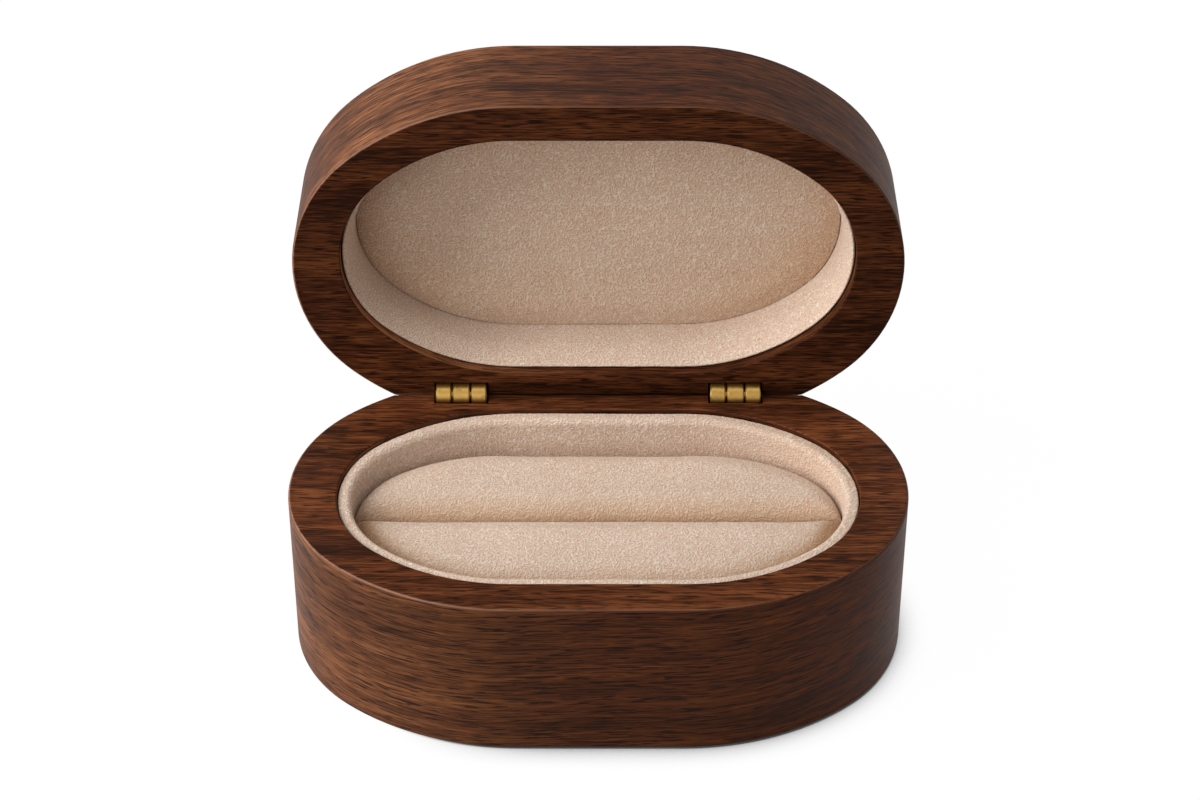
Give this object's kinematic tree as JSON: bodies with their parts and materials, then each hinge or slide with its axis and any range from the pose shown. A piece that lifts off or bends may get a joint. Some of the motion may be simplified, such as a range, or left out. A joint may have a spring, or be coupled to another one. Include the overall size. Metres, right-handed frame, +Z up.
{
  "type": "jewelry box",
  "caption": "Oval wooden ring box with a lid on brass hinges, suede lining, padded ring rolls with a slit between them, and a padded lid.",
  "frame": {"origin": "middle of the flat underside of the base", "axes": "+X along the box's length, -Y the front, +Z up; the lid stands open at the rear"},
  "size_m": [0.15, 0.1212, 0.1253],
  "materials": {
    "walnut": "satin oiled",
    "suede": "napped suede",
    "brass": "satin",
    "card": "plain",
    "foam": "open cell"
  },
  "bodies": {
    "base": {"base_body": "walnut", "base_wall_suede": "suede", "base_wall_card": "card", "base_floor_card": "card", "rear_roll_suede": "suede", "rear_roll_foam": "foam", "front_roll_suede": "suede", "front_roll_foam": "foam", "left_hinge_base_leaf": "brass", "right_hinge_base_leaf": "brass", "left_hinge_pin": "brass", "right_hinge_pin": "brass", "base_hinge_screws": "brass"},
    "lid": {"lid_body": "walnut", "lid_wall_suede": "suede", "lid_wall_card": "card", "lid_pad_card": "card", "lid_pad_foam": "foam", "lid_pad_suede": "suede", "left_hinge_lid_leaf": "brass", "right_hinge_lid_leaf": "brass", "lid_hinge_screws": "brass"}
  },
  "joints": [
    {"name": "lid_hinge", "type": "hinge", "parent": "base", "child": "lid", "pos_m": [0, 0.0364, 0.0445], "axis": [1, 0, 0], "range_deg": [0, 95]}
  ]
}
